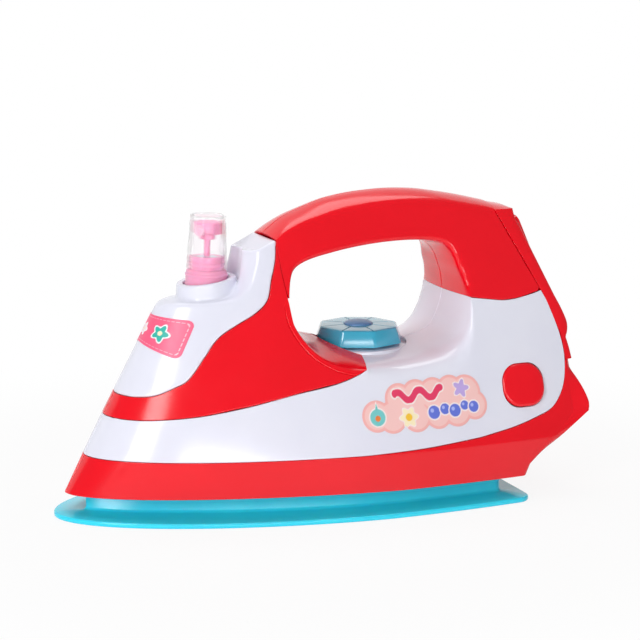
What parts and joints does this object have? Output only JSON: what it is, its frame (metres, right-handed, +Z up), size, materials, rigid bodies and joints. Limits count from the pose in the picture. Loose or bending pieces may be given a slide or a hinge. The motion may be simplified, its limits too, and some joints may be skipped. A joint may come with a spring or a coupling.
{
  "type": "toy steam iron",
  "caption": "Toy steam iron with an arched handle, octagonal dial, working spray bottle with a clear cap, side push-button and a heel to stand on.",
  "frame": {"origin": "middle of the overall length and width, on the underside of the soleplate", "axes": "+X towards the heel, +Z up; the side with the button is -Y"},
  "size_m": [0.2314, 0.1074, 0.132],
  "materials": {
    "red_plastic": "glossy moulded red plastic",
    "white_plastic": "glossy moulded white plastic",
    "blue_plastic": "satin sky-blue plastic",
    "pink_plastic": "slightly see-through pink plastic",
    "clear_plastic": "clear moulded plastic",
    "dial_plastic": "glossy teal plastic",
    "dial_cap_plastic": "glossy blue-grey plastic",
    "black_plastic": "matt black plastic",
    "board_green": "green circuit board",
    "cell_jacket": "printed battery jacket without words",
    "screw_steel": "plated steel",
    "spring_steel": "bright spring wire"
  },
  "bodies": {
    "case": {"soleplate": "blue_plastic", "sole_screws": "screw_steel", "base_tray": "red_plastic", "band_shell_left": "red_plastic", "band_shell_right": "red_plastic", "side_shell_left": "white_plastic", "side_shell_right": "white_plastic", "cheek_left": "red_plastic", "cheek_right": "red_plastic", "nose_cover": "white_plastic", "handle_left": "red_plastic", "handle_right": "red_plastic", "rear_cover": "red_plastic", "case_screws": "screw_steel", "bottle_sleeve": "white_plastic", "dial_seat": "white_plastic", "button_guide": "white_plastic", "sound_board": "board_green", "sound_switch": "black_plastic", "speaker": "black_plastic", "battery_box": "black_plastic", "battery_contacts": "spring_steel", "battery_cells": "cell_jacket"},
    "dial_unit": {"dial": "dial_plastic", "dial_cap": "dial_cap_plastic", "dial_screw": "screw_steel"},
    "button": {"sound_button": "red_plastic"},
    "bottle_unit": {"water_bottle": "clear_plastic", "spray_collar": "pink_plastic", "dip_tube": "white_plastic", "pump_body": "white_plastic", "pump_spring": "spring_steel"},
    "spray_top": {"spray_head": "pink_plastic", "nozzle_insert": "pink_plastic"},
    "cap": {"spray_cap": "clear_plastic"},
    "door": {"battery_door": "red_plastic", "door_screw": "screw_steel"}
  },
  "joints": [
    {"name": "dial_turn", "type": "hinge", "parent": "case", "child": "dial_unit", "pos_m": [0.0209, 0, 0.0658], "axis": [0, 0, 1], "continuous": true},
    {"name": "button_press", "type": "slide", "parent": "case", "child": "button", "axis": [0, 1, 0], "range_m": [0, 0.0022], "stiffness_N_per_m": 400},
    {"name": "bottle_lift", "type": "slide", "parent": "case", "child": "bottle_unit", "axis": [0.0419, 0, 0.9991], "range_m": [0, 0.065]},
    {"name": "pump_stroke", "type": "slide", "parent": "bottle_unit", "child": "spray_top", "axis": [-0.0419, 0, -0.9991], "range_m": [0, 0.004], "stiffness_N_per_m": 500, "deforming": ["pump_spring"]},
    {"name": "cap_lift", "type": "slide", "parent": "bottle_unit", "child": "cap", "axis": [0.0419, 0, 0.9991], "range_m": [0, 0.04]},
    {"name": "door_pull", "type": "slide", "parent": "case", "child": "door", "axis": [0.9121, 0, 0.4099], "range_m": [0, 0.03]}
  ]
}
